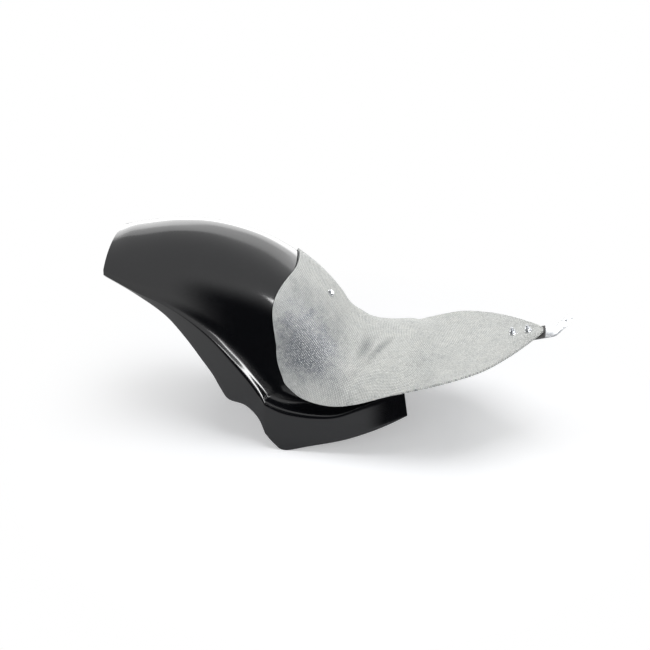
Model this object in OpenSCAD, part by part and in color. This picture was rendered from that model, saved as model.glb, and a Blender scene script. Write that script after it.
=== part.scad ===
// Rear fender with seat pan for a motorcycle.
// +X points forward, +Z up, and the centre plane is Y = 0. The fender stands
// as it does on the machine, with the seat rising towards the tank.

/* [Fender] */
// Radius of the ridge line over the wheel
ridge_r = 334; // [300:1:390]
// How far the tail reaches back past the top of the arch, in degrees
tail_angle = 23; // [15:1:35]
// Width of the shell at the tail
tail_w = 184; // [160:1:220]
// Width of the shell over the skirts
body_w = 260; // [235:1:300]
// Depth of the dome at the tail
tail_depth = 40; // [30:1:55]
// Height of the skirt wall at its rear corner
skirt_h = 66; // [50:1:90]
// Wall of the moulded shell
shell_t = 3; // [2:0.5:5]

/* [Seat pan] */
// How far the pan's edge stands out past the shell on each side
pan_overhang = 2; // [0:0.5:10]
// Length of the seat from the valley to the nose
seat_l = 284; // [240:1:340]
// Slope of the nose, in degrees
nose_pitch = 17; // [8:1:22]
// Thickness of the laminate
pan_t = 4; // [3:0.5:6]
// Gap between the pan and the shell
pan_gap = 0.8; // [0.6:0.1:1.5]

/* [Nose bracket] */
// Width of the steel strip
strip_w = 32; // [24:1:45]
// Thickness of the strip
strip_t = 3; // [2:0.5:4]
// Thickness of the rubber pad over the strip
pad_t = 3; // [2:0.5:5]
// Bend of the strip ahead of the nose, in degrees
strip_bend = 34; // [20:1:45]
// Length of the upturned end
strip_end = 36; // [28:1:60]
// Diameter of the mounting hole in the upturned end
strip_hole_d = 8.5; // [6:0.5:11]

/* [Fasteners] */
// Thread diameter of the bolts
bolt_d = 6; // [5:1:8]
// Distance between the two nose bolts
bolt_pitch = 27; // [22:1:40]
// Clearance of each drilled hole over its bolt
hole_play = 0.6; // [0.4:0.1:1.5]

/* [Hidden] */

seat = 0.05;            // running fit between stacked hardware
lift = 0.3;             // washer clearance over the laminate
hole_d = bolt_d + hole_play;
washer_d = 2 * bolt_d;
washer_t = 0.25 * bolt_d;
nut_af = 5 / 3 * bolt_d;
nut_h = 0.8 * bolt_d;
head_h = 2 / 3 * bolt_d;
stub = bolt_d;          // thread left standing above each nut

// Wheel centre, measured from the lowest point of the skirts
wheel_x = -205;
wheel_z = ridge_r - 304;

tail_lean = 3;          // how far the top of the tail's cut leans forward, in degrees

half_tail = tail_w / 2;
half_body = body_w / 2;

// A point at a radius and an angle ahead of the top, about the wheel centre
function about_wheel(r, a) = [wheel_x + r * sin(a), wheel_z + r * cos(a)];

// Width of the arch between its tail, 0, and the skirts, 1
function arch_half(f) = half_tail + (half_body - half_tail) * f;

// How far the ridge swells off its circle towards the seat
function swell(a) = 0.13 * max(0, a + 5);

// Sections of the arch from the tail forward to the skirt corner, each
// [ridge, crease, crease half width, lower edge, its half width, flare, turn, fullness]
arch = [
    [about_wheel(ridge_r, tail_lean - tail_angle), about_wheel(ridge_r - tail_depth, -tail_angle), half_tail,
     about_wheel(ridge_r - tail_depth - 5, -tail_angle), half_tail - 3, 1, 58, 2],
    for (s = [
        // angle, crease depth, edge depth, width, flare, turn, fullness
        [-14, 78, 86, 0.2, 3, 74, 2.1],
        [-2, 102, 126, 0.4, 6, 82, 2.3],
        [10, 122, 164, 0.56, 9, 87, 2.6],
        [24, 139, 193, 0.7, 13, 90, 3],
        [37, 150, 207, 0.8, 16, 90, 3.4],
        [49, 153, 216, 0.88, 19, 90, 3.6]
    ]) [
        about_wheel(ridge_r + swell(s[0]), s[0]),
        about_wheel(ridge_r - s[1], s[0]), arch_half(s[3]),
        about_wheel(ridge_r - s[2], s[0]), arch_half(s[3]) - 3 - s[4] / 2, s[4], s[5], s[6]
    ],
    [about_wheel(ridge_r + swell(60), 60), about_wheel(ridge_r - 152, 61), half_body - 3,
     [-101, 86], half_body - 15, 22, 90, 3.6],
    [[113, 164], [-37, 105], half_body - 1, [-70, 79], half_body - 11, 24, 90, 3.4],
    [[124, 151], [-34, 99], half_body, [-46, 60], half_body - 4, 25, 90, 3],
    [[128, 146], [-33, 97], half_body, [-33, 97 - skirt_h], half_body, 25, 90, 3]
];

// Sections of the deck and its skirts, from the corner to the front edge
deck = [
    [[128, 146], [-33, 97], half_body, [-33, 97 - skirt_h], half_body, 25, 90, 3],
    [[136, 146], [-12, 87], half_body, [-17, 78 - skirt_h], half_body + 1, 25, 90, 3],
    [[143, 147], [14, 80], half_body, [2, 66 - skirt_h], half_body + 1, 25, 90, 2.8],
    [[153, 148], [53, 77], half_body, [44, 78 - skirt_h], half_body, 22, 90, 2.6],
    [[167, 151], [94, 82], half_body, [104, 97 - skirt_h], half_body - 1, 16, 90, 2.4],
    [[183, 154], [140, 105], half_body - 2, [149, 117 - skirt_h], half_body - 3, 10, 90, 2],
    [[200, 158], [182, 127], half_body - 4, [185, 137 - skirt_h], half_body - 5, 5, 90, 2],
    [[216, 161], [210, 142], half_body - 6, [217, 158 - skirt_h], half_body - 7, 3, 90, 2]
];

// Catmull-Rom value through four numbers, points or lists of them
function knot(a, b, c, d, t) =
    is_list(a)
        ? [for (i = [0 : len(a) - 1]) knot(a[i], b[i], c[i], d[i], t)]
        : b + 0.5 * t * (c - a + t * (2 * a - 5 * b + 4 * c - d + t * (3 * (b - c) + d - a)));

// Smooth rows through a list of rows, with n steps between neighbours
function smooth(rows, n) = let (m = len(rows) - 1) [
    for (i = [0 : m - 1], k = [0 : n - 1])
        knot(rows[max(i - 1, 0)], rows[i], rows[i + 1], rows[min(i + 2, m)], k / n),
    rows[m]
];

dome_n = 12;            // steps from the ridge to the side of the dome
flare_n = 5;            // steps round the concave flare
wall_n = 3;             // steps down the side panel

// A point on a crowned curve from [0, 0] to [1, 1], at a share s of its turn:
// a circle's arc at fullness 2, and squarer above it
function crown(s, turn, fullness) = let (p = 2 / fullness, a = min(turn, 90)) [
    pow(sin(a * s) / sin(a), p),
    (1 - pow(cos(a * s), p)) / (1 - pow(cos(a), p))
];

// One half section as [y, share of the way from ridge to crease]
function half_section(w, flare, share, flat, turn, fullness) = let (b = w - flare, n = dome_n + flare_n) [
    for (j = [0 : n]) let (
        on_dome = j <= dome_n,
        c = crown(min(1, j / dome_n), turn, fullness),
        a = 90 * (j - dome_n) / flare_n,
        y = on_dome ? b * c[0] : b + flare * (1 - cos(a)),
        q = on_dome ? share * c[1] : share + (1 - share) * sin(a),
        even = w * j / n
    ) [y + (even - y) * flat, q + (pow(even / w, 2) - q) * flat]
];

function lerp(a, b, t) = a + (b - a) * t;

// Half of a shell section in 3D, from the ridge out and down to the edge
function shell_half(row, flat) = let (r = row[0], c = row[1], e = row[3]) concat(
    [for (p = half_section(row[2], row[5], 0.8, flat, row[6], row[7]))
        [lerp(r[0], c[0], p[1]), -p[0], lerp(r[1], c[1], p[1])]],
    [for (k = [1 : wall_n]) let (t = k / wall_n)
        [lerp(c[0], e[0], t), -lerp(row[2], row[4], t), lerp(c[1], e[1], t)]]
);

function mirrored(p) = [p[0], -p[1], p[2]];

// A full section from the near edge over the ridge to the far edge
function full(half) = concat(
    [for (j = [len(half) - 1 : -1 : 1]) half[j]],
    [half[0]],
    [for (j = [1 : len(half) - 1]) mirrored(half[j])]
);

function unit(v) = v / max(norm(v), 1e-9);

// Outward direction of a grid of points at one of them
function facing(g, i, j) = let (
    m = len(g) - 1, n = len(g[0]) - 1,
    along = g[min(i + 1, m)][j] - g[max(i - 1, 0)][j],
    across = g[i][min(j + 1, n)] - g[i][max(j - 1, 0)]
) unit(cross(along, across));

// A sheet of even thickness under a grid of points on its outer face
module sheet(g, t) {
    m = len(g);
    n = len(g[0]);
    outer = [for (i = [0 : m - 1], j = [0 : n - 1]) g[i][j]];
    inner = [for (i = [0 : m - 1], j = [0 : n - 1]) g[i][j] - t * facing(g, i, j)];
    under = m * n;
    rim = concat(
        [for (j = [0 : n - 2]) j],
        [for (i = [0 : m - 2]) i * n + n - 1],
        [for (j = [n - 1 : -1 : 1]) (m - 1) * n + j],
        [for (i = [m - 1 : -1 : 1]) i * n]
    );
    translate([-origin_x, 0, 0]) polyhedron(
        points = concat(outer, inner),
        faces = concat(
            [for (i = [0 : m - 2], j = [0 : n - 2]) let (a = i * n + j, b = a + n)
                each [[a, b + 1, b], [a, a + 1, b + 1],
                      [under + a, under + b, under + b + 1], [under + a, under + b + 1, under + a + 1]]],
            [for (k = [0 : len(rim) - 1]) let (a = rim[k], b = rim[(k + 1) % len(rim)])
                each [[a, under + b, b], [a, under + a, under + b]]]
        )
    );
}

arch_grid = [for (row = smooth(arch, 3)) full(shell_half(row, 0))];
deck_rows = smooth(deck, 2);
deck_grid = [for (i = [1 : len(deck_rows) - 1])
    full(shell_half(deck_rows[i], pow(i / (len(deck_rows) - 1), 2)))];
shell_grid = concat(arch_grid, deck_grid);

half_pan = half_body + pan_overhang;

// The valley, and the nose line that rises from it
valley = [151, 174];
tip = [valley[0] + seat_l, 217];
function nose_line(d) = [tip[0] - d * cos(nose_pitch), tip[1] - d * sin(nose_pitch)];
front_d = 26;           // front nose bolt behind the tip
rear_d = front_d + bolt_pitch;

// Heights off the top of the pan at the nose
washer_z = lift;
nut_z = washer_z + washer_t + seat;
pad_z = -pan_t - 2 * lift - pad_t;
strip_z = pad_z - seat - strip_t;

strip_back = rear_d + 22;       // rear end of the strip behind the tip
bend_x = 14;                    // where its bend starts, ahead of the tip
bend_r = 14;                    // inner radius of the bend
bend_n = 10;                    // flats round the bend
bend_z = strip_z + strip_t + bend_r;

// A point of the turned line [x, z] at an angle
function turned(x, z, a) = [x * cos(a) - z * sin(a), x * sin(a) + z * cos(a)];

// The foremost point of the whole part, at the end of the strip
strip_tip = turned(strip_end, -bend_r - strip_t, strip_bend) + [bend_x, bend_z];
front_x = tip[0] + turned(strip_tip[0], strip_tip[1], nose_pitch)[0];
tail_x = about_wheel(ridge_r - tail_depth, -tail_angle)[0];

// The origin lies midway between the tail and the end of the strip
origin_x = (front_x + tail_x) / 2;

// A point on the shell's outer face, u rows along the arch and s of the way down its dome
function dome_at(u, s) = let (
    i = floor(u),
    row = knot(arch[i - 1], arch[i], arch[i + 1], arch[i + 2], u - i),
    c = crown(s, row[6], row[7])
) [lerp(row[0][0], row[1][0], 0.8 * c[1]), -(row[2] - row[5]) * c[0], lerp(row[0][1], row[1][1], 0.8 * c[1])];

// The same point carried out to the upper face of the pan
function over_dome(u, s) = let (
    d = 0.01,
    p = dome_at(u, s),
    out = unit(cross(dome_at(u, s + d) - p, dome_at(u + d, s) - dome_at(u - d, s))),
    q = p + (pan_gap + pan_t) * out
) s == 0 ? [q[0], 0, q[2]] : q;

pan_n = 12;             // steps from the centre line to the edge of the pan

// Rows of the pan that lie on the dome, each [row of the arch, reach down the side,
// stand-off at the edge, bow to the rear, turn of the corner]
pan_back = [for (r = [
    [5.02, 0.88, 0.8, 0.4, 0.75],
    [5.4, 0.91, 1, 0.25, 0.55],
    [5.9, 0.94, 2, 0.1, 0.25],
    [6.45, 0.965, 4.5, 0, 0],
    [7, 0.98, 9, 0, 0]
]) [for (j = [0 : pan_n]) let (t = j / pan_n)
    over_dome(r[0] - r[3] * t * (1 - t) + r[4] * pow(t, 6), r[1] * t) - [0, r[2] * t * t, 0]]];

// Rows ahead of the dome, each [centre, edge, half width, turn, fullness]
pan_seat = [for (r = [
    [[119, 187], [6, 130], half_pan - 9, 78, 3.6],
    [[136, 177], [36, 109], half_pan - 4, 74, 3.7],
    [valley, [84, 102], half_pan, 70, 3.6],
    [[175, 173.5], [131, 112], half_pan + 1, 64, 3.5],
    [[212, 177], [181, 133], half_pan, 56, 3],
    [nose_line(190), [236, 154], half_pan - 2, 50, 2.4],
    [nose_line(138), [288, 172], half_pan - 7, 50, 2.2],
    [nose_line(94), [338, 185], half_pan - 28, 50, 2.2],
    [nose_line(56), [378, 197.5], half_pan - 60, 50, 2.2],
    [nose_line(28), [406, 207], half_pan - 90, 50, 2.2],
    [nose_line(9), [424, 213.7], half_pan - 112, 50, 2.2],
    [tip, tip - [1, 0.3], 6, 50, 2.2]
]) [for (j = [0 : pan_n]) let (c = crown(j / pan_n, r[3], r[4]))
    [lerp(r[0][0], r[1][0], c[1]), -r[2] * c[0], lerp(r[0][1], r[1][1], c[1])]]];

pan_grid = [for (half = smooth(concat(pan_back, pan_seat), 3)) full(half)];

// Place a child on the nose, a distance behind the tip, with +Z off the pan
module on_nose(d) {
    translate([nose_line(d)[0] - origin_x, 0, nose_line(d)[1]])
        rotate([0, -nose_pitch, 0])
            children();
}

back_row = 6.1;         // place of the back bolt along the arch

// Place a child on the upper face of the pan over the dome, with +Z outwards
module on_dome() {
    at = over_dome(back_row, 0);
    run = over_dome(back_row + 0.1, 0) - over_dome(back_row - 0.1, 0);
    translate([at[0] - origin_x, 0, at[2]])
        rotate([0, atan2(-run[2], run[0]), 0])
            children();
}

module hole(d, depth) translate([0, 0, -depth]) cylinder(h = 2 * depth, d = d, $fn = 48);

module washer(d, t, bore) difference() {
    cylinder(h = t, d = d, $fn = 64);
    translate([0, 0, -1]) cylinder(h = t + 2, d = bore, $fn = 48);
}

module hex_nut() difference() {
    cylinder(h = nut_h, d = nut_af / cos(30), $fn = 6);
    translate([0, 0, -1]) cylinder(h = nut_h + 2, d = bolt_d + 2 * seat, $fn = 48);
}

// A hex bolt whose head's bearing face is at z = 0, with its shank upwards
module hex_bolt(l) {
    translate([0, 0, -head_h]) cylinder(h = head_h, d = nut_af / cos(30), $fn = 6);
    translate([0, 0, -0.01]) cylinder(h = l - 1 + 0.01, d = bolt_d, $fn = 48);
    translate([0, 0, l - 1]) cylinder(h = 1, d1 = bolt_d, d2 = bolt_d - 1.6, $fn = 48);
}

nose_bolt_l = nut_z + nut_h + stub - strip_z + seat;

module fender_shell() color("#1b1b1d") difference() {
    sheet(shell_grid, shell_t);
    on_dome() hole(hole_d, 14);
}

module seat_pan() color("#c9cac4") difference() {
    sheet(pan_grid, pan_t);
    on_dome() hole(hole_d, 9);
    on_nose(front_d) hole(hole_d, 9);
    on_nose(rear_d) hole(hole_d, 9);
}

// Plan outline of a flat strip with a round rear end
module strip_plan(from, to, w, t) {
    translate([from + w / 2, -w / 2, 0]) cube([to - from - w / 2, w, t]);
    translate([from + w / 2, 0, 0]) cylinder(h = t, d = w, $fn = 64);
}

module nose_pad() color("#151515") on_nose(0) difference() {
    translate([0, 0, pad_z]) strip_plan(-strip_back - 4, 1.5, strip_w + 8, pad_t);
    translate([-front_d, 0, 0]) hole(hole_d, 20);
    translate([-rear_d, 0, 0]) hole(hole_d, 20);
}

// Side view of one face of the bend, seen along Y, at a radius about its centre
function bend_arc(r) = [
    for (k = [0 : bend_n]) turned(0, -r, strip_bend * k / bend_n) + [bend_x, bend_z]
];
function backwards(list) = [for (i = [len(list) - 1 : -1 : 0]) list[i]];

// What the rounded end of a strip loses, with the round's centre at the origin
module round_off() difference() {
    translate([0, -strip_w, -10]) cube([strip_w, 2 * strip_w, 20]);
    translate([0, 0, -11]) cylinder(h = 22, d = 1.04 * strip_w, $fn = 64);
}

module nose_bracket() color("#b4b7ba") on_nose(0) difference() {
    rotate([90, 0, 0]) translate([0, 0, -strip_w / 2]) linear_extrude(strip_w) polygon(concat(
        [[-strip_back, strip_z + strip_t], [-strip_back, strip_z]],
        bend_arc(bend_r + strip_t),
        [strip_tip, turned(strip_end, -bend_r, strip_bend) + [bend_x, bend_z]],
        backwards(bend_arc(bend_r))
    ));
    translate([-front_d, 0, 0]) hole(hole_d, 20);
    translate([-rear_d, 0, 0]) hole(hole_d, 20);
    translate([-strip_back + strip_w / 2, 0, strip_z]) rotate([0, 0, 180]) round_off();
    translate([bend_x, 0, bend_z]) rotate([0, -strip_bend, 0])
        translate([strip_end - strip_w / 2, 0, -bend_r - strip_t]) {
            round_off();
            hole(strip_hole_d, 10);
        }
}

module nose_bolt(d) color("#a9adb0") on_nose(d) translate([0, 0, strip_z - seat]) hex_bolt(nose_bolt_l);
module nose_washer(d) color("#dcdedf") on_nose(d) translate([0, 0, washer_z]) washer(washer_d, washer_t, hole_d);
module nose_nut(d) color("#a9adb0") on_nose(d) translate([0, 0, nut_z]) hex_nut();

module front_nose_bolt() nose_bolt(front_d);
module rear_nose_bolt() nose_bolt(rear_d);
module front_nose_washer() nose_washer(front_d);
module rear_nose_washer() nose_washer(rear_d);
module front_nose_nut() nose_nut(front_d);
module rear_nose_nut() nose_nut(rear_d);

// The back bolt drops through the pan and the shell into a nut underneath
plate_z = -pan_t - pan_gap - shell_t - 1 - washer_t;
back_nut_z = plate_z - seat - nut_h;
module back_bolt() color("#a9adb0") on_dome() translate([0, 0, washer_z + washer_t + seat]) mirror([0, 0, 1])
    hex_bolt(washer_z + washer_t + seat - back_nut_z + stub / 2);
module back_washer() color("#dcdedf") on_dome() translate([0, 0, washer_z]) washer(washer_d, washer_t, hole_d);
module back_plate_washer() color("#dcdedf") on_dome() translate([0, 0, plate_z]) washer(4 * bolt_d, washer_t, hole_d);
module back_nut() color("#a9adb0") on_dome() translate([0, 0, back_nut_z]) hex_nut();

fender_shell();
seat_pan();
nose_pad();
nose_bracket();
front_nose_bolt();
rear_nose_bolt();
front_nose_washer();
rear_nose_washer();
front_nose_nut();
rear_nose_nut();
back_bolt();
back_washer();
back_plate_washer();
back_nut();
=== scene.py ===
import math

import bpy
from mathutils import Matrix, Quaternion, Vector


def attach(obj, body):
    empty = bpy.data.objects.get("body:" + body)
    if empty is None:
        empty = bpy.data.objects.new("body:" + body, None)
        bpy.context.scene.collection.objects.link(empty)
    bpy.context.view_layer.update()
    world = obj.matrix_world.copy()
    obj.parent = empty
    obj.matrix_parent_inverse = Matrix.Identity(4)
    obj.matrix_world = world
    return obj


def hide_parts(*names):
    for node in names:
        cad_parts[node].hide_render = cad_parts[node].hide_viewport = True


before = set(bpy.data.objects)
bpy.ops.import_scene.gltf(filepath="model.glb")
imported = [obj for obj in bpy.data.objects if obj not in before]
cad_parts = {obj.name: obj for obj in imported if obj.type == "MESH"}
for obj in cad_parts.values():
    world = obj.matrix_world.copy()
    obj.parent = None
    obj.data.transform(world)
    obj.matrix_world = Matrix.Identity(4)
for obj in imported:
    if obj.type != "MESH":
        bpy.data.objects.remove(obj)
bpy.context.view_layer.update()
print("frame loaded,", len(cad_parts), "pieces")

mm = 0.001
scene = bpy.context.scene


# small helpers for modelling by hand
def deselectAll():
    if bpy.context.object and bpy.context.object.mode != "OBJECT":
        bpy.ops.object.mode_set(mode="OBJECT")
    bpy.ops.object.select_all(action="DESELECT")


def pick(piece):
    deselectAll()
    bpy.context.view_layer.objects.active = piece
    piece.select_set(True)


def justAdded(name):
    piece = bpy.context.object
    piece.name = name
    piece.data.name = name
    return piece


def applyModifiers(piece):
    pick(piece)
    for modifier in list(piece.modifiers):
        bpy.ops.object.modifier_apply(modifier=modifier.name)


def put(piece, place):
    # the place goes into the mesh, so the object stays at the origin
    piece.data.transform(place)
    piece.data.update()


def editMesh(piece, *steps):
    pick(piece)
    bpy.ops.object.mode_set(mode="EDIT")
    bpy.ops.mesh.select_all(action="SELECT")
    for step in steps:
        step()
    bpy.ops.object.mode_set(mode="OBJECT")


def softenEdges(piece, width, segments=2, limit=40, finish=-1):
    bevel = piece.modifiers.new("soft edges", "BEVEL")
    bevel.material = finish
    bevel.width = width
    bevel.segments = segments
    bevel.limit_method = "ANGLE"
    bevel.angle_limit = math.radians(limit)
    applyModifiers(piece)


def smoothShading(piece, angle=None):
    pick(piece)
    if angle is None:
        bpy.ops.object.shade_smooth()
    else:
        bpy.ops.object.shade_smooth_by_angle(angle=math.radians(angle))


def cut(piece, tool, how="DIFFERENCE"):
    boolean = piece.modifiers.new("cut", "BOOLEAN")
    boolean.operation = how
    boolean.object = tool
    boolean.solver = "EXACT"
    applyModifiers(piece)
    bpy.data.objects.remove(tool)


def joinInto(piece, *others):
    pick(piece)
    for other in others:
        other.select_set(True)
    bpy.ops.object.join()
    return piece


def finishPiece(piece, node, slot, *materials):
    if materials:
        piece.data.materials.clear()
        for material in materials:
            piece.data.materials.append(material)
    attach(piece, "root")
    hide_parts(node)
    return piece


# nodes and materials
def addNode(tree, kind, inputs=None, **settings):
    node = tree.nodes.new(kind)
    for key, value in settings.items():
        setattr(node, key, value)
    for key, value in (inputs or {}).items():
        if isinstance(value, bpy.types.NodeSocket):
            tree.links.new(value, node.inputs[key])
        else:
            node.inputs[key].default_value = value
    return node


def maths(tree, operation, a, b=0.0, clamp=False):
    return addNode(tree, "ShaderNodeMath", {0: a, 1: b}, operation=operation, use_clamp=clamp).outputs[0]


def vectorMaths(tree, operation, a, b=None, scale=None):
    inputs = {key: value for key, value in ((0, a), (1, b), ("Scale", scale)) if value is not None}
    node = addNode(tree, "ShaderNodeVectorMath", inputs, operation=operation)
    single = operation in ("DOT_PRODUCT", "DISTANCE", "LENGTH")
    return node.outputs["Value" if single else "Vector"]


def spread(tree, value, low, high, toLow=0.0, toHigh=1.0):
    return addNode(tree, "ShaderNodeMapRange", {
        "Value": value, "From Min": low, "From Max": high, "To Min": toLow, "To Max": toHigh
    }).outputs["Result"]


def blendColours(tree, share, a, b, how="MIX"):
    node = addNode(tree, "ShaderNodeMix", data_type="RGBA", blend_type=how)
    for socket, value in ((node.inputs[0], share), (node.inputs[6], a), (node.inputs[7], b)):
        if isinstance(value, bpy.types.NodeSocket):
            tree.links.new(value, socket)
        else:
            socket.default_value = value if socket is node.inputs[0] else (*value, 1)
    return node.outputs[2]


def noise(tree, where, scale, detail=3.0, roughness=0.55):
    return addNode(tree, "ShaderNodeTexNoise", {
        "Vector": where, "Scale": scale, "Detail": detail, "Roughness": roughness
    }).outputs["Fac"]


def newMaterial(name, **sockets):
    material = bpy.data.materials.new(name)
    material.use_nodes = True
    tree = material.node_tree
    shader = tree.nodes["Principled BSDF"]
    for key, value in sockets.items():
        socket = shader.inputs[key.replace("_", " ")]
        socket.default_value = (*value, 1) if isinstance(value, tuple) else value
    return material, tree, shader


def objectPlace(tree):
    return addNode(tree, "ShaderNodeTexCoord").outputs["Object"]


def sheetPlace(tree):
    return addNode(tree, "ShaderNodeUVMap", uv_map="sheetMap").outputs["UV"]


def nearLine(tree, place, start, end, width, strength):
    # 0 away from a line between two points, the strength at its middle, and fading towards its ends
    run = Vector(end) - Vector(start)
    away = vectorMaths(tree, "SUBTRACT", place, start)
    along = vectorMaths(tree, "DOT_PRODUCT", away, tuple(run / run.length_squared))
    foot = vectorMaths(tree, "SCALE", tuple(run), scale=maths(tree, "ADD", along, 0.0, True))
    off = vectorMaths(tree, "DISTANCE", away, foot)
    fade = spread(tree, maths(tree, "ABSOLUTE", maths(tree, "SUBTRACT", along, 0.5)), 0.5, 0.05)
    return addNode(tree, "ShaderNodeMapRange", {
        "Value": off, "From Min": width, "From Max": 0.0, "To Max": maths(tree, "MULTIPLY", fade, strength)
    }, interpolation_type="SMOOTHSTEP").outputs["Result"]


def bump(tree, height, strength, distance, under=None):
    inputs = {"Height": height, "Strength": strength, "Distance": distance}
    if under is not None:
        inputs["Normal"] = under
    return addNode(tree, "ShaderNodeBump", inputs).outputs["Normal"]


def makeWeaveGroup():
    # plain woven cloth: the height of its two sets of tows as they pass over and under each other
    group = bpy.data.node_groups.new("wovenCloth", "ShaderNodeTree")
    for name, way, kind in (("Vector", "INPUT", "Vector"), ("Tows", "INPUT", "Float"),
                            ("Wander", "INPUT", "Float"), ("Height", "OUTPUT", "Float")):
        group.interface.new_socket(name, in_out=way, socket_type="NodeSocket" + kind)
    source = group.nodes.new("NodeGroupInput")
    result = group.nodes.new("NodeGroupOutput")
    drift = addNode(group, "ShaderNodeTexNoise", {
        "Vector": source.outputs["Vector"], "Scale": 60.0, "Detail": 2.0
    })
    pushed = vectorMaths(group, "SUBTRACT", drift.outputs["Color"], (0.5, 0.5, 0.5))
    pushed = vectorMaths(group, "SCALE", pushed, scale=source.outputs["Wander"])
    moved = vectorMaths(group, "ADD", source.outputs["Vector"], pushed)
    scaled = vectorMaths(group, "SCALE", moved, scale=source.outputs["Tows"])
    parts = addNode(group, "ShaderNodeSeparateXYZ", {0: scaled})
    waves = [maths(group, "SINE", maths(group, "MULTIPLY", parts.outputs[k], math.pi)) for k in (0, 1)]
    over = maths(group, "ADD", maths(group, "MULTIPLY", maths(
        group, "SIGN", maths(group, "MULTIPLY", waves[0], waves[1])), 0.5), 0.5)
    warp, weft = [maths(group, "POWER", maths(group, "ABSOLUTE", wave), 0.6) for wave in waves]
    height = addNode(group, "ShaderNodeMix", {0: over, 2: weft, 3: warp}, data_type="FLOAT").outputs[0]
    gaps = maths(group, "MULTIPLY", warp, weft)
    group.links.new(maths(group, "MULTIPLY", height, maths(
        group, "ADD", maths(group, "MULTIPLY", gaps, 0.5), 0.5)), result.inputs["Height"])
    return group


def useWeave(tree, where, tows, wander):
    return addNode(tree, "ShaderNodeGroup", {"Vector": where, "Tows": tows, "Wander": wander},
                   node_tree=weaveGroup).outputs["Height"]


weaveGroup = makeWeaveGroup()

shellLook = {
    "colour": (0.0042, 0.0045, 0.0056),
    "dust": (0.013, 0.0135, 0.015),
    "roughness": (0.10, 0.16),
    "dustCover": 0.35,
    "orangePeel": 0.02,
    "ripple": 0.10,
    "insideColour": (0.018, 0.0185, 0.0195),
    "insideGlass": (0.07, 0.072, 0.074),
    "insideTows": 210.0,
    "insideWander": 0.0016,
    "rimColours": ((0.012, 0.012, 0.013), (0.05, 0.05, 0.052)),
}


def makeGlossBlack():
    material, tree, shader = newMaterial("glossBlackShell", Roughness=0.12, IOR=1.55, Specular_IOR_Level=0.5)
    place = objectPlace(tree)
    cloud = noise(tree, place, 9.0, 4.0)
    fine = noise(tree, place, 160.0, 5.0)
    dust = spread(tree, maths(tree, "MULTIPLY", cloud, fine), 0.30, 0.52)
    cover = maths(tree, "MULTIPLY", dust, shellLook["dustCover"])
    tree.links.new(blendColours(tree, cover, shellLook["colour"], shellLook["dust"]),
                   shader.inputs["Base Color"])
    tree.links.new(spread(tree, cloud, 0.35, 0.65, *shellLook["roughness"]), shader.inputs["Roughness"])
    peel = bump(tree, noise(tree, place, 420.0, 2.0), shellLook["orangePeel"], 0.0006)
    ripple = bump(tree, noise(tree, place, 13.0, 1.0), shellLook["ripple"], 0.004, peel)
    tree.links.new(ripple, shader.inputs["Normal"])
    return material


def makeShellInside():
    material, tree, shader = newMaterial("blackShellInside", Roughness=0.5, IOR=1.5, Specular_IOR_Level=0.4)
    height = useWeave(tree, sheetPlace(tree), shellLook["insideTows"], shellLook["insideWander"])
    blotch = noise(tree, objectPlace(tree), 22.0, 5.0, 0.65)
    glass = maths(tree, "MULTIPLY", height, spread(tree, blotch, 0.42, 0.68), clamp=True)
    tree.links.new(blendColours(tree, glass, shellLook["insideColour"], shellLook["insideGlass"]),
                   shader.inputs["Base Color"])
    tree.links.new(spread(tree, blotch, 0.3, 0.7, 0.3, 0.62), shader.inputs["Roughness"])
    tree.links.new(bump(tree, height, 0.5, 0.0007, bump(tree, blotch, 0.5, 0.002)), shader.inputs["Normal"])
    return material


def makeShellRim():
    material, tree, shader = newMaterial("trimmedShellEdge", Roughness=0.42, IOR=1.5)
    fibre = noise(tree, objectPlace(tree), 900.0, 4.0, 0.7)
    tree.links.new(blendColours(tree, spread(tree, fibre, 0.45, 0.7), *shellLook["rimColours"]),
                   shader.inputs["Base Color"])
    tree.links.new(bump(tree, fibre, 0.4, 0.0003), shader.inputs["Normal"])
    return material


panLook = {
    "light": (0.77, 0.775, 0.725),
    "mid": (0.57, 0.585, 0.56),
    "dark": (0.085, 0.10, 0.12),
    # pale tows, and also the colour of the painted highlight on the tows
    "fleckAndHighlight": (0.93, 0.95, 0.95),
    "tows": 330.0,
    "wander": 0.0012,
    # folds where the cloth was pressed into the valley, darkened with painted shade along them: from, to,
    # half width, strength
    "foldsAndShade": (
        ((0.056, 0.000, 0.179), (0.042, -0.092, 0.168), 0.017, 0.75),
        ((0.096, 0.010, 0.174), (0.052, -0.096, 0.165), 0.012, 0.75),
        ((0.068, -0.066, 0.170), (0.018, -0.122, 0.138), 0.013, 0.42),
        ((0.150, -0.030, 0.177), (0.240, -0.105, 0.180), 0.022, 0.16),
    ),
    "resinCentre": (-0.045, -0.100, 0.215),
    "resinSize": (0.085, 0.085, 0.105),
    # the colour of the painted shade along the folds
    "foldShadeColour": (0.12, 0.125, 0.13),
    "darkFleck": (0.16, 0.175, 0.19),
    "gapColour": (0.10, 0.11, 0.125),
    "underside": (0.47, 0.45, 0.385),
    "undersideShade": (0.33, 0.31, 0.26),
    "rim": (0.95, 0.96, 0.95),
    "rimShade": (0.80, 0.81, 0.79),
}


def resinPatch(tree, place, big, small):
    # a resin-rich patch low on the near side of the backrest, broken up by both noises
    near = vectorMaths(tree, "SUBTRACT", place, panLook["resinCentre"])
    reach = vectorMaths(tree, "LENGTH", vectorMaths(tree, "DIVIDE", near, panLook["resinSize"]))
    wet = maths(tree, "ADD", spread(tree, reach, 1.15, 0.40, 0.0, 0.92),
                spread(tree, big, 0.35, 0.7, -0.30, 0.32))
    return maths(tree, "ADD", wet, spread(tree, small, 0.35, 0.65, -0.26, 0.26), clamp=True)


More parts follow.
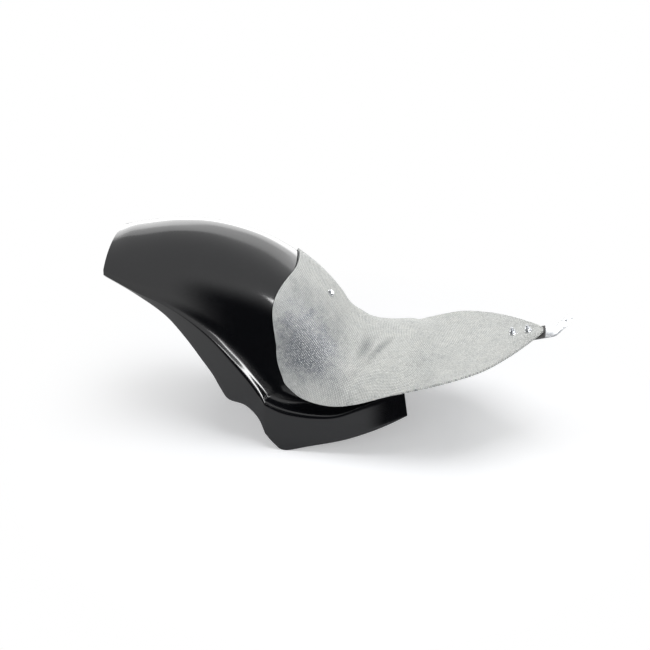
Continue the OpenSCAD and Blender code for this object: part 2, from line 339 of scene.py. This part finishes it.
def makePanCloth(name, top):
    material, tree, shader = newMaterial(name, Roughness=0.55, IOR=1.5, Specular_IOR_Level=0.35)
    place = objectPlace(tree)
    height = useWeave(tree, sheetPlace(tree), panLook["tows"], panLook["wander"])
    big = noise(tree, place, 11.0, 4.0, 0.6)
    small = noise(tree, place, 70.0, 5.0, 0.65)
    fleckAndHighlight = noise(tree, place, 520.0, 3.0, 0.7)
    wet = resinPatch(tree, place, big, small) if top else spread(tree, big, 0.4, 0.75, 0.05, 0.5)
    shade, pale = ("mid", "light") if top else ("undersideShade", "underside")
    dry = blendColours(tree, spread(tree, small, 0.32, 0.68), panLook[shade], panLook[pale])
    tone = blendColours(tree, wet, dry, panLook["dark"])
    # single tows stand out pale or dark against their neighbours
    speckle = noise(tree, place, 330.0, 2.0, 0.8)
    tone = blendColours(tree, spread(tree, speckle, 0.56, 0.72, 0.0, 0.45), tone, panLook["fleckAndHighlight"])
    tone = blendColours(tree, spread(tree, speckle, 0.44, 0.28, 0.0, 0.5), tone, panLook["darkFleck"])
    # the folds' mask carries painted shade into the colour and a dent into the bump
    foldAndShade = 0.0
    if top:
        for start, end, width, strength in panLook["foldsAndShade"]:
            foldAndShade = maths(tree, "MAXIMUM", foldAndShade, nearLine(tree, place, start, end, width, strength))
        # darken the colour along the folds: painted shade
        tone = blendColours(tree, foldAndShade, tone, panLook["foldShadeColour"])
    # a painted highlight on the tows where they ride high, stronger where the resin is wet, and a darker
    # colour in the gaps between them
    relief = maths(tree, "MULTIPLY", height, spread(tree, fleckAndHighlight, 0.35, 0.7, 0.55, 1.25))
    tone = blendColours(tree, spread(tree, relief, 0.62, 0.0, 0.0, 0.9), tone, panLook["gapColour"])
    # painted highlight: the pale colour laid over the tows that ride high
    paintedTowHighlight = maths(tree, "MULTIPLY", spread(tree, relief, 0.6, 0.95), spread(tree, wet, 0.0, 1.0, 0.45, 0.85),
                  clamp=True)
    tone = blendColours(tree, paintedTowHighlight, tone, panLook["fleckAndHighlight"])
    tree.links.new(tone, shader.inputs["Base Color"])
    tree.links.new(spread(tree, wet, 0.0, 1.0, 0.66, 0.4), shader.inputs["Roughness"])
    soft = bump(tree, maths(tree, "SUBTRACT", big, foldAndShade) if top else big, 0.35, 0.006)
    rough = bump(tree, small, 0.3, 0.0016, soft)
    tree.links.new(bump(tree, height, 0.55, 0.0008, rough), shader.inputs["Normal"])
    return material


def makePanRim():
    material, tree, shader = newMaterial("sawnLaminateEdge", Roughness=0.6, IOR=1.5)
    fibre = noise(tree, objectPlace(tree), 650.0, 4.0, 0.7)
    tree.links.new(blendColours(tree, spread(tree, fibre, 0.35, 0.7), panLook["rimShade"], panLook["rim"]),
                   shader.inputs["Base Color"])
    tree.links.new(bump(tree, fibre, 0.5, 0.0004), shader.inputs["Normal"])
    return material


# colour, worn colour, roughness from and to, scale, stretch and depth of the grain
metalLook = {
    "zincPlate": ((0.36, 0.37, 0.38), (0.26, 0.27, 0.29), (0.22, 0.40), 700.0, (1, 1, 1), 0.25),
    "brightWasher": ((0.72, 0.73, 0.74), (0.58, 0.59, 0.61), (0.16, 0.32), 900.0, (1, 1, 1), 0.2),
    "brushedStripSteel": ((0.44, 0.45, 0.46), (0.33, 0.34, 0.36), (0.26, 0.48), 500.0, (0.08, 1.0, 1.0), 0.3),
}


def makeMetal(name, colour, worn, roughness, grainScale, grainStretch, strength):
    material, tree, shader = newMaterial(name, Metallic=1.0, Roughness=roughness[0])
    place = objectPlace(tree)
    stretched = addNode(tree, "ShaderNodeMapping", {"Vector": place, "Scale": grainStretch}).outputs[0]
    grain = noise(tree, stretched, grainScale, 4.0, 0.7)
    cloud = noise(tree, place, 120.0, 4.0, 0.6)
    tone = blendColours(tree, spread(tree, cloud, 0.35, 0.7), colour, worn)
    tree.links.new(tone, shader.inputs["Base Color"])
    tree.links.new(spread(tree, grain, 0.3, 0.7, *roughness), shader.inputs["Roughness"])
    tree.links.new(bump(tree, grain, strength, 0.0002), shader.inputs["Normal"])
    return material


def makeRubber():
    material, tree, shader = newMaterial("blackRubberPad", Roughness=0.72, IOR=1.5, Specular_IOR_Level=0.35)
    place = objectPlace(tree)
    grain = noise(tree, place, 800.0, 5.0, 0.7)
    bloom = noise(tree, place, 45.0, 4.0)
    tone = blendColours(tree, spread(tree, bloom, 0.4, 0.75), (0.012, 0.012, 0.012), (0.034, 0.033, 0.032))
    tree.links.new(tone, shader.inputs["Base Color"])
    tree.links.new(bump(tree, grain, 0.45, 0.0003), shader.inputs["Normal"])
    return material


glossBlack = makeGlossBlack()
shellInside = makeShellInside()
shellRim = makeShellRim()
panTop = makePanCloth("bareGlassCloth", True)
panUnder = makePanCloth("bareGlassClothUnder", False)
panRim = makePanRim()
zincPlate, brightWasher, stripSteel = [makeMetal(name, *look) for name, look in metalLook.items()]
rubber = makeRubber()
print("materials made")


# moulded sheets: rows of a section, smoothed along their length
def mixed(a, b, t):
    return a + (b - a) * t


def knot(a, b, c, d, t):
    if isinstance(a, (list, tuple)):
        return [knot(*values, t) for values in zip(a, b, c, d)]
    return b + 0.5 * t * (c - a + t * (2 * a - 5 * b + 4 * c - d + t * (3 * (b - c) + d - a)))


def smoothRows(rows, steps):
    last = len(rows) - 1
    made = [knot(rows[max(i - 1, 0)], rows[i], rows[i + 1], rows[min(i + 2, last)], k / steps)
            for i in range(last) for k in range(steps)]
    return made + [rows[last]]


def crown(share, turn, fullness):
    # a crowned curve from 0, 0 to 1, 1: round at fullness 2, squarer above it
    power = 2 / fullness
    a = math.radians(min(turn, 90))
    return ((math.sin(a * share) / math.sin(a)) ** power,
            (1 - max(0.0, math.cos(a * share)) ** power) / (1 - max(0.0, math.cos(a)) ** power))


def wholeSection(half):
    return list(reversed(half[1:])) + [half[0]] + [(x, -y, z) for x, y, z in half[1:]]


def ease(line, centre, reach, passes):
    # rounds a corner in a line of points, as a mould's edge is
    line = [Vector(p) for p in line]
    for _ in range(passes):
        moved = list(line)
        for k in range(max(1, centre - reach), min(len(line) - 1, centre + reach + 1)):
            moved[k] = line[k] * 0.5 + (line[k - 1] + line[k + 1]) * 0.25
        line = moved
    return [tuple(p) for p in line]


def lengths(points):
    total, made = 0.0, [0.0]
    for a, b in zip(points, points[1:]):
        total += (Vector(b) - Vector(a)).length
        made.append(total)
    return made


def loftSheet(name, rows, thickness, edge, edgeFinish=-1):
    # rows are in millimetres, with X ahead of the lowest point of the skirts
    along, across = len(rows) - 1, len(rows[0]) - 1
    deselectAll()
    bpy.ops.mesh.primitive_grid_add(x_subdivisions=across, y_subdivisions=along, size=2)
    sheet = justAdded(name)
    ridge = across // 2
    down = [lengths(column) for column in zip(*rows)]
    aside = [lengths(row) for row in rows]
    cells = [(round((v.co.y + 1) / 2 * along), round((v.co.x + 1) / 2 * across)) for v in sheet.data.vertices]
    for v, (i, j) in zip(sheet.data.vertices, cells):
        x, y, z = rows[i][j]
        v.co = ((x - moulds["originX"]) * mm, y * mm, z * mm)
    sheetMap = sheet.data.uv_layers[0]
    sheetMap.name = "sheetMap"
    for loop, uv in zip(sheet.data.loops, sheetMap.data):
        i, j = cells[loop.vertex_index]
        uv.uv = ((aside[i][j] - aside[i][ridge]) * mm, down[j][i] * mm)
    editMesh(sheet, bpy.ops.mesh.flip_normals)
    wall = sheet.modifiers.new("wall", "SOLIDIFY")
    wall.thickness = thickness * mm
    wall.offset = -1
    wall.use_even_offset = False
    wall.material_offset = 1
    wall.material_offset_rim = 2
    applyModifiers(sheet)
    softenEdges(sheet, edge * mm, 3, 62, edgeFinish)
    smoothShading(sheet, 62)
    return sheet


moulds = {
    "originX": 81.2619,          # the origin lies midway between the tail and the end of the strip
    "ridgeRadius": 334.0,
    "wheel": (-205.0, 30.0),
    "tailAngle": 23.0,
    "tailLean": 3.0,
    "tailDepth": 40.0,
    "tailHalf": 92.0,
    "bodyHalf": 130.0,
    "skirtHeight": 66.0,
    "wall": 3.0,
    "edgeInset": 3,              # how far the lower edge of the side panel stands inside the crease
    "domeShare": 0.8,            # how much of a section's height is dome, the rest is flare
    "levelSpread": (12, 5),      # how the flat deck's width is shared out between dome and flare
    "wallSpread": 1.8,           # above 1 the rows of the side panel crowd towards the crease
    "archSteps": 8,
    "deckSteps": 7,
    "domeSteps": 30,
    "flareSteps": 12,
    "wallSteps": 14,
    "edge": 0.5,
}


def aboutWheel(radius, angle):
    a = math.radians(angle)
    return [moulds["wheel"][0] + radius * math.sin(a), moulds["wheel"][1] + radius * math.cos(a)]


def swell(angle):
    return 0.13 * max(0.0, angle + 5)


def archRow(angle, crease, edge, width, flare, turn, fullness):
    half = mixed(moulds["tailHalf"], moulds["bodyHalf"], width)
    ridge = moulds["ridgeRadius"]
    return [aboutWheel(ridge + swell(angle), angle), aboutWheel(ridge - crease, angle), half,
            aboutWheel(ridge - edge, angle), half - moulds["edgeInset"] - flare / 2, flare, turn, fullness]


def archRows():
    # each row: ridge, crease, its half width, lower edge, its half width, flare, turn, fullness
    ridge, tail, body = moulds["ridgeRadius"], moulds["tailAngle"], moulds["bodyHalf"]
    depth, half = moulds["tailDepth"], moulds["tailHalf"]
    return [
        [aboutWheel(ridge, moulds["tailLean"] - tail), aboutWheel(ridge - depth, -tail), half,
         aboutWheel(ridge - depth - 5, -tail), half - moulds["edgeInset"], 1, 58, 2],
        archRow(-14, 78, 86, 0.2, 3, 74, 2.1),
        archRow(-2, 102, 126, 0.4, 6, 82, 2.3),
        archRow(10, 122, 164, 0.56, 9, 87, 2.6),
        archRow(24, 139, 193, 0.7, 13, 90, 3),
        archRow(37, 150, 207, 0.8, 16, 90, 3.4),
        archRow(49, 153, 216, 0.88, 19, 90, 3.6),
        [aboutWheel(ridge + swell(60), 60), aboutWheel(ridge - 152, 61), body - 3,
         [-101, 86], body - 15, 22, 90, 3.6],
        [[113, 164], [-37, 105], body - 1, [-70, 79], body - 11, 24, 90, 3.4],
        [[124, 151], [-34, 99], body, [-46, 60], body - 4, 25, 90, 3],
        [[128, 146], [-33, 97], body, [-33, 97 - moulds["skirtHeight"]], body, 25, 90, 3],
    ]


def deckRows():
    body, skirt = moulds["bodyHalf"], moulds["skirtHeight"]
    return [
        [[128, 146], [-33, 97], body, [-33, 97 - skirt], body, 25, 90, 3],
        [[136, 146], [-12, 87], body, [-17, 78 - skirt], body + 1, 25, 90, 3],
        [[143, 147], [14, 80], body, [2, 66 - skirt], body + 1, 25, 90, 2.8],
        [[153, 148], [53, 77], body, [44, 78 - skirt], body, 22, 90, 2.6],
        [[167, 151], [94, 82], body, [104, 97 - skirt], body - 1, 16, 90, 2.4],
        [[183, 154], [140, 105], body - 2, [149, 117 - skirt], body - 3, 10, 90, 2],
        [[200, 158], [182, 127], body - 4, [185, 137 - skirt], body - 5, 5, 90, 2],
        [[216, 161], [210, 142], body - 6, [217, 158 - skirt], body - 7, 3, 90, 2],
    ]


def shellSection(row, flat):
    (rx, rz), (cx, cz), width, (ex, ez), edgeWidth, flare, turn, fullness = row
    share, dome, out = moulds["domeShare"], width - flare, moulds["flareSteps"]
    onDome, onFlare = moulds["levelSpread"]
    half = []
    for k in range(moulds["domeSteps"] + out + 1):
        if k <= moulds["domeSteps"]:
            s = k / moulds["domeSteps"]
            c = crown(s, turn, fullness)
            y, q, even = dome * c[0], share * c[1], width * onDome * s / (onDome + onFlare)
        else:
            s = (k - moulds["domeSteps"]) / out
            a = math.radians(90 * s)
            y, q = dome + flare * (1 - math.cos(a)), share + (1 - share) * math.sin(a)
            even = width * (onDome + onFlare * s) / (onDome + onFlare)
        y, q = mixed(y, even, flat), mixed(q, (even / width) ** 2, flat)
        half.append((mixed(rx, cx, q), -y, mixed(rz, cz, q)))
    crease = len(half) - 1
    for k in range(1, moulds["wallSteps"] + 1):
        t = (k / moulds["wallSteps"]) ** moulds["wallSpread"]
        half.append((mixed(cx, ex, t), -mixed(width, edgeWidth, t), mixed(cz, ez, t)))
    return ease(half, crease, 3, 8)


def makeShell():
    arch = [shellSection(row, 0) for row in smoothRows(archRows(), moulds["archSteps"])]
    rows = smoothRows(deckRows(), moulds["deckSteps"])
    deck = [shellSection(row, (i / (len(rows) - 1)) ** 2) for i, row in enumerate(rows)][1:]
    halves = arch + deck
    # the dome's foot is eased along its length, while the skirt keeps its upright corner
    dome = moulds["domeSteps"] + moulds["flareSteps"] - 2
    columns = [ease(list(column), len(arch) - 1, 4, 6) if k < dome else list(column)
               for k, column in enumerate(zip(*halves))]
    shell = loftSheet("fenderShellMoulded", [wholeSection(list(row)) for row in zip(*columns)],
                      moulds["wall"], moulds["edge"])
    return finishPiece(shell, "fender_shell", "black_shell", glossBlack, shellInside, shellRim)


fenderShell = makeShell()
print("shell moulded,", len(fenderShell.data.polygons), "faces")

panShape = {
    "thickness": 4.0,
    "gap": 0.8,
    "half": 132.0,
    "valley": (151.0, 174.0),
    "tip": (435.0, 217.0),
    "nosePitch": 17.0,
    "alongSteps": 7,
    "acrossSteps": 60,
    "edge": 1.2,
}


def domeAt(u, s):
    rows = archRows()
    i = int(u)
    row = knot(rows[i - 1], rows[i], rows[i + 1], rows[i + 2], u - i)
    c = crown(s, row[6], row[7])
    q = moulds["domeShare"] * c[1]
    return Vector((mixed(row[0][0], row[1][0], q), -(row[2] - row[5]) * c[0], mixed(row[0][1], row[1][1], q)))


def overDome(u, s, lift):
    # a point of the shell's outer face, carried outwards
    step = 0.01
    p = domeAt(u, s)
    out = (domeAt(u, s + step) - p).cross(domeAt(u + step, s) - domeAt(u - step, s)).normalized()
    q = p + out * lift
    return Vector((q.x, 0 if s == 0 else q.y, q.z))


def noseLine(d):
    a = math.radians(panShape["nosePitch"])
    return [panShape["tip"][0] - d * math.cos(a), panShape["tip"][1] - d * math.sin(a)]


def panRows():
    half, across = panShape["half"], panShape["acrossSteps"]
    lift = panShape["gap"] + panShape["thickness"]
    rows = []
    # on the dome: row of the arch, reach down the side, stand-off at the edge, bow to the rear,
    # turn of the corner
    for u, reach, off, bow, corner in (
        (5.02, 0.88, 0.8, 0.4, 0.75),
        (5.4, 0.91, 1, 0.25, 0.55),
        (5.9, 0.94, 2, 0.1, 0.25),
        (6.45, 0.965, 4.5, 0, 0),
        (7, 0.98, 9, 0, 0),
    ):
        row = []
        for j in range(across + 1):
            t = j / across
            at = overDome(u - bow * t * (1 - t) + corner * t ** 6, reach * t, lift)
            row.append(at - Vector((0, off * t * t, 0)))
        rows.append(row)
    tipX, tipZ = panShape["tip"]
    # along the seat: centre, edge, half width, turn, fullness
    for centre, edge, width, turn, fullness in (
        ((119, 187), (6, 130), half - 9, 78, 3.6),
        ((136, 177), (36, 109), half - 4, 74, 3.7),
        (panShape["valley"], (84, 102), half, 70, 3.6),
        ((175, 173.5), (131, 112), half + 1, 64, 3.5),
        ((212, 177), (181, 133), half, 56, 3),
        (noseLine(190), (236, 154), half - 2, 50, 2.4),
        (noseLine(138), (288, 172), half - 7, 50, 2.2),
        (noseLine(94), (338, 185), half - 28, 50, 2.2),
        (noseLine(56), (378, 197.5), half - 60, 50, 2.2),
        (noseLine(28), (406, 207), half - 90, 50, 2.2),
        (noseLine(9), (424, 213.7), half - 112, 50, 2.2),
        ((tipX, tipZ), (tipX - 1, tipZ - 0.3), 6, 50, 2.2),
    ):
        row = []
        for j in range(across + 1):
            c = crown(j / across, turn, fullness)
            row.append((mixed(centre[0], edge[0], c[1]), -width * c[0], mixed(centre[1], edge[1], c[1])))
        rows.append(row)
    return [[tuple(p) for p in row] for row in rows]


def makePan():
    halves = smoothRows(panRows(), panShape["alongSteps"])
    pan = loftSheet("seatPanLaminate", [wholeSection([tuple(p) for p in half]) for half in halves],
                    panShape["thickness"], panShape["edge"], 2)
    return finishPiece(pan, "seat_pan", "bare_laminate", panTop, panUnder, panRim)


seatPan = makePan()
print("pan laid up,", len(seatPan.data.polygons), "faces")


# nose strip, its pad and the fasteners
def noseFrame(d):
    x, z = noseLine(d)
    return (Matrix.Translation(((x - moulds["originX"]) * mm, 0, z * mm))
            @ Matrix.Rotation(math.radians(-panShape["nosePitch"]), 4, "Y"))


def backFrame(u):
    lift = panShape["gap"] + panShape["thickness"]
    at = overDome(u, 0, lift)
    run = overDome(u + 0.1, 0, lift) - overDome(u - 0.1, 0, lift)
    return (Matrix.Translation(((at.x - moulds["originX"]) * mm, 0, at.z * mm))
            @ Matrix.Rotation(math.atan2(-run.z, run.x), 4, "Y"))


def copyNode(node, name):
    piece = bpy.data.objects.new(name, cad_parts[node].data.copy())
    piece.data.name = name
    scene.collection.objects.link(piece)
    editMesh(
        piece,
        bpy.ops.mesh.customdata_custom_splitnormals_clear,
        lambda: bpy.ops.mesh.remove_doubles(threshold=1e-6),
        lambda: bpy.ops.mesh.dissolve_limited(angle_limit=math.radians(0.4)),
    )
    return piece


stripFinish = {"edge": 0.45, "padEdge": 0.6}

strip = copyNode("nose_bracket", "noseStripSteel")
softenEdges(strip, stripFinish["edge"] * mm, 2, 50)
smoothShading(strip, 30)
finishPiece(strip, "nose_bracket", "strip_steel", stripSteel)

pad = copyNode("nose_pad", "nosePadRubber")
softenEdges(pad, stripFinish["padEdge"] * mm, 2, 50)
smoothShading(pad, 30)
finishPiece(pad, "nose_pad", "black_rubber", rubber)
print("strip and pad made")

fastener = {
    "thread": 6.0,
    "pitch": 1.0,
    "flats": 10.0,
    "nutHeight": 4.8,
    "headHeight": 4.0,
    "chamfer": 0.75,
    "seat": 0.05,
    "lift": 0.3,
    "washer": 1.5,
    "washerDiameter": 12.0,
    "plateDiameter": 24.0,
    "bore": 6.6,
    "frontBolt": 26.0,
    "boltPitch": 27.0,
    "backRow": 6.1,
    "stripZ": -10.65,
    "stub": 6.0,
    "nutEdge": 0.14,
    "headEdge": 0.16,
    "washerEdge": 0.22,
    "threadSteps": 28,
}


def addPrism(name, sides, radius, z0, z1):
    deselectAll()
    bpy.ops.mesh.primitive_cylinder_add(vertices=sides, radius=radius * mm, depth=(z1 - z0) * mm,
                                        location=(0, 0, (z0 + z1) / 2 * mm))
    prism = justAdded(name)
    pick(prism)
    bpy.ops.object.transform_apply(location=True, rotation=True, scale=True)
    return prism


def roundBar(name, radius, z0, z1, sides=48, tip=0.0, both=False):
    # a turned bar along Z whose end, or ends, are chamfered
    bar = addPrism(name, sides, radius, z0, z1)
    if tip:
        mesh = bar.data
        for edge in mesh.edges:
            ends = [mesh.vertices[k].co.z for k in edge.vertices]
            level = abs(ends[0] - ends[1]) < 1e-7
            edge.select = level and (both or ends[0] > (z0 + z1) / 2 * mm)
        for face in mesh.polygons:
            face.select = False
        for vertex in mesh.vertices:
            vertex.select = both or vertex.co.z > (z0 + z1) / 2 * mm
        pick(bar)
        bpy.ops.object.mode_set(mode="EDIT")
        bpy.ops.mesh.select_mode(type="EDGE")
        bpy.ops.mesh.bevel(offset=tip * mm, segments=1, affect="EDGES")
        bpy.ops.object.mode_set(mode="OBJECT")
    return bar


def hexBlock(name, z0, z1):
    # a hexagon with its corners turned off at both faces
    radius = fastener["flats"] / 2 / math.cos(math.pi / 6)
    block = addPrism(name, 6, radius, z0, z1)
    turned = roundBar("turned", radius + 0.02, z0, z1, 64, fastener["chamfer"], True)
    cut(block, turned, "INTERSECT")
    return block


def threadCoil(name, z0, z1):
    # one tooth of thread carried round and up the shank
    radius, pitch = fastener["thread"] / 2, fastener["pitch"]
    root, crest = radius - 0.55 * pitch, radius - 0.03
    points = [(root, 0), (crest, pitch * 0.42), (crest, pitch * 0.58), (root, pitch)]
    mesh = bpy.data.meshes.new(name)
    mesh.from_pydata([(x * mm, 0, (z + z0) * mm) for x, z in points], [(0, 1), (1, 2), (2, 3)], [])
    coil = bpy.data.objects.new(name, mesh)
    scene.collection.objects.link(coil)
    screw = coil.modifiers.new("thread", "SCREW")
    screw.axis = "Z"
    screw.angle = 2 * math.pi
    screw.screw_offset = pitch * mm
    screw.iterations = max(1, int((z1 - z0) / pitch) - 1)
    screw.steps = fastener["threadSteps"]
    screw.render_steps = fastener["threadSteps"]
    screw.use_merge_vertices = True
    screw.merge_threshold = 1e-6
    applyModifiers(coil)
    editMesh(coil, lambda: bpy.ops.mesh.remove_doubles(threshold=2e-6),
             lambda: bpy.ops.mesh.normals_make_consistent(inside=False))
    return coil


def makeNut(node, name, place, z):
    nut = hexBlock(name, z, z + fastener["nutHeight"])
    bore = roundBar("bore", fastener["thread"] / 2 + fastener["seat"], z - 1, z + fastener["nutHeight"] + 1)
    cut(nut, bore)
    softenEdges(nut, fastener["nutEdge"] * mm, 2, 25)
    smoothShading(nut, 40)
    put(nut, place)
    return finishPiece(nut, node, "zinc_bolt", zincPlate)


def makeWasher(node, name, place, z, diameter):
    thickness = fastener["washer"]
    washer = roundBar(name, diameter / 2, z, z + thickness, 72)
    cut(washer, roundBar("bore", fastener["bore"] / 2, z - 1, z + thickness + 1))
    softenEdges(washer, fastener["washerEdge"] * mm, 2, 50)
    smoothShading(washer, 40)
    put(washer, place)
    return finishPiece(washer, node, "bright_washer", brightWasher)


def makeBolt(node, name, place, bearing, length, downwards=False):
    # the head's bearing face is at a height, and the shank runs up from it, or down
    head = hexBlock(name, -fastener["headHeight"], 0)
    softenEdges(head, fastener["headEdge"] * mm, 2, 25)
    core = roundBar("core", fastener["thread"] / 2 - 0.5, -0.5, length, 40, 0.55)
    plain = roundBar("plain", fastener["thread"] / 2 - 0.02, -0.3, length * 0.35, 40)
    coil = threadCoil("coil", length * 0.35 - 0.4, length - 0.3)
    bolt = joinInto(head, core, plain, coil)
    smoothShading(bolt, 40)
    turn = Matrix.Rotation(math.pi, 4, "X") if downwards else Matrix.Identity(4)
    put(bolt, place @ Matrix.Translation((0, 0, bearing * mm)) @ turn)
    return finishPiece(bolt, node, "zinc_bolt", zincPlate)


def makeNoseFasteners():
    nutZ = fastener["lift"] + fastener["washer"] + fastener["seat"]
    bearing = fastener["stripZ"] - fastener["seat"]
    length = nutZ + fastener["nutHeight"] + fastener["stub"] - bearing
    front = fastener["frontBolt"]
    for side, d in (("front", front), ("rear", front + fastener["boltPitch"])):
        place = noseFrame(d)
        makeBolt(f"{side}_nose_bolt", f"{side}NoseBolt", place, bearing, length)
        makeWasher(f"{side}_nose_washer", f"{side}NoseWasher", place, fastener["lift"],
                   fastener["washerDiameter"])
        makeNut(f"{side}_nose_nut", f"{side}NoseNut", place, nutZ)


def makeBackFasteners():
    place = backFrame(fastener["backRow"])
    bearing = fastener["lift"] + fastener["washer"] + fastener["seat"]
    plateZ = -panShape["thickness"] - panShape["gap"] - moulds["wall"] - 1 - fastener["washer"]
    nutZ = plateZ - fastener["seat"] - fastener["nutHeight"]
    makeBolt("back_bolt", "backBolt", place, bearing, bearing - nutZ + fastener["stub"] / 2, True)
    makeWasher("back_washer", "backWasher", place, fastener["lift"], fastener["washerDiameter"])
    makeWasher("back_plate_washer", "backPlateWasher", place, plateZ, fastener["plateDiameter"])
    makeNut("back_nut", "backNut", place, nutZ)


makeNoseFasteners()
makeBackFasteners()
print("fasteners made")

# floor, light and camera
studio = {
    "floorSize": 40.0,
    "floorColour": (0.80, 0.81, 0.83),
    "floorLift": 0.34,           # white added to the floor near the fender, for the camera
    "nearRadius": 0.22,
    "farRadius": 0.62,
    "worldLight": 0.33,
    # lamps that light things: place, aim, size, power, roll
    "lamps": {
        "overheadSoftbox": ((0.12, -0.10, 1.9), (0.0, 0.0, 0.1), (1.2, 1.0), 20.0, 0),
        "frontFill": ((-0.5, -2.1, 1.2), (0.0, 0.0, 0.15), (1.6, 1.4), 13.0, 0),
    },
    # lamps that only the gloss and the metal show
    "reflectors": {
        "backdropSoftbox": ((-0.57, 2.1, 0.49), (-0.57, 0.0, 0.49), (5.0, 2.6), 46.0, 26),
        "lowerBackdrop": ((-0.20, 2.12, 0.32), (-0.20, 0.0, 0.32), (5.0, 1.8), 34.0, 12),
        "horizonSoftbox": ((0.0, 2.15, 0.14), (0.0, 0.0, 0.14), (5.0, 1.2), 38.0, -4),
        "streakSoftbox": ((1.08, -0.94, 0.62), (-0.18, -0.115, 0.19), (2.0, 0.86), 105.0, 0),
    },
    # black cards beside the flank that only the gloss shows: left, right, ahead, height, side and top fade
    "cards": {
        "flankCard": (-0.38, 0.42, -0.30, 0.42, 0.20, 0.50),
        "skirtCard": (0.05, 0.40, -0.215, 0.26, 0.16, 0.40),
    },
    "lens": 36 * 1210 / 650,
    "cameraPlace": (0.380325 - 0.0812619, -1.863301, 1.236134),
    "azimuth": 10.0,
    "elevation": 29.0,
}


def seenDirectly(tree):
    # 1 for what the camera sees, and what metal and gloss reflect
    path = addNode(tree, "ShaderNodeLightPath")
    mirrored = maths(tree, "MAXIMUM", path.outputs["Is Glossy Ray"], path.outputs["Is Transmission Ray"])
    return maths(tree, "MAXIMUM", path.outputs["Is Camera Ray"], mirrored)


def makeFloor():
    deselectAll()
    bpy.ops.mesh.primitive_circle_add(vertices=96, radius=studio["floorSize"] / 2, fill_type="NGON")
    floor = justAdded("paleFloor")
    material, tree, shader = newMaterial("palePaper", Base_Color=studio["floorColour"], Roughness=0.9,
                                         Specular_IOR_Level=0.0)
    place = objectPlace(tree)
    far = spread(tree, vectorMaths(tree, "LENGTH", place), studio["nearRadius"], studio["farRadius"])
    white = addNode(tree, "ShaderNodeEmission", {"Color": (1, 1, 1, 1), "Strength": 1.0})
    seen = addNode(tree, "ShaderNodeLightPath").outputs["Is Camera Ray"]
    lift = addNode(tree, "ShaderNodeEmission", {
        "Color": (1, 1, 1, 1), "Strength": maths(tree, "MULTIPLY", seen, studio["floorLift"])
    })
    paper = addNode(tree, "ShaderNodeAddShader", {0: shader.outputs[0], 1: lift.outputs[0]})
    both = addNode(tree, "ShaderNodeMixShader", {
        0: maths(tree, "MULTIPLY", far, seenDirectly(tree)), 1: paper.outputs[0], 2: white.outputs[0]
    })
    tree.links.new(both.outputs[0], tree.nodes["Material Output"].inputs["Surface"])
    floor.data.materials.append(material)


def makeWorld():
    world = bpy.data.worlds.new("studioWorld")
    scene.world = world
    world.use_nodes = True
    tree = world.node_tree
    background = tree.nodes["Background"]
    background.inputs["Color"].default_value = (1, 1, 1, 1)
    tree.links.new(spread(tree, seenDirectly(tree), 0.0, 1.0, studio["worldLight"], 1.0),
                   background.inputs["Strength"])


def addSoftbox(name, place, target, size, power, roll, lights):
    lamp = bpy.data.lights.new(name, "AREA")
    lamp.shape = "RECTANGLE"
    lamp.size, lamp.size_y = size
    lamp.energy = power
    box = bpy.data.objects.new(name, lamp)
    scene.collection.objects.link(box)
    box.location = place
    aim = (Vector(target) - Vector(place)).to_track_quat("-Z", "Y")
    box.rotation_euler = (aim @ Quaternion((0, 0, 1), math.radians(roll))).to_euler()
    box.visible_diffuse = lights
    box.visible_glossy = not lights


def makeBlackCard(name, left, right, ahead, height, sideFade, topFade):
    deselectAll()
    bpy.ops.mesh.primitive_plane_add(size=1)
    card = justAdded(name)
    material = bpy.data.materials.new(name + "Cloth")
    material.use_nodes = True
    tree = material.node_tree
    tree.nodes.clear()
    place = addNode(tree, "ShaderNodeSeparateXYZ", {0: addNode(tree, "ShaderNodeUVMap").outputs["UV"]})
    aside = maths(tree, "ABSOLUTE", maths(tree, "SUBTRACT", place.outputs[0], 0.5))
    masks = [addNode(tree, "ShaderNodeMapRange", {
        "Value": value, "From Min": start, "From Max": end
    }, interpolation_type="SMOOTHERSTEP").outputs["Result"]
        for value, start, end in ((aside, 0.5, 0.5 - sideFade), (place.outputs[1], 1.0, 1.0 - topFade))]
    clear = addNode(tree, "ShaderNodeBsdfTransparent")
    black = addNode(tree, "ShaderNodeEmission", {"Color": (0, 0, 0, 1), "Strength": 0.0})
    both = addNode(tree, "ShaderNodeMixShader", {
        0: maths(tree, "MULTIPLY", *masks), 1: clear.outputs[0], 2: black.outputs[0]
    })
    output = addNode(tree, "ShaderNodeOutputMaterial", {"Surface": both.outputs[0]})
    output.is_active_output = True
    card.data.materials.append(material)
    put(card, Matrix.Translation(((left + right) / 2, ahead, height / 2 + 0.001))
        @ Matrix.Rotation(math.pi / 2, 4, "X") @ Matrix.Diagonal((right - left, height, 1, 1)))
    for kind in ("camera", "diffuse", "transmission", "shadow", "volume_scatter"):
        setattr(card, "visible_" + kind, False)


def makeCamera():
    data = bpy.data.cameras.new("photoCamera")
    data.sensor_width = 36
    data.lens = studio["lens"]
    camera = bpy.data.objects.new("photoCamera", data)
    scene.collection.objects.link(camera)
    a, e = math.radians(studio["azimuth"]), math.radians(studio["elevation"])
    ahead = Vector((-math.sin(a) * math.cos(e), math.cos(a) * math.cos(e), -math.sin(e)))
    camera.location = studio["cameraPlace"]
    camera.rotation_mode = "QUATERNION"
    camera.rotation_quaternion = ahead.to_track_quat("-Z", "Y")
    scene.camera = camera


makeFloor()
makeWorld()
for name, settings in studio["lamps"].items():
    addSoftbox(name, *settings, True)
for name, settings in studio["reflectors"].items():
    addSoftbox(name, *settings, False)
for name, settings in studio["cards"].items():
    makeBlackCard(name, *settings)
makeCamera()
scene.view_settings.view_transform = "Standard"
print("studio ready")
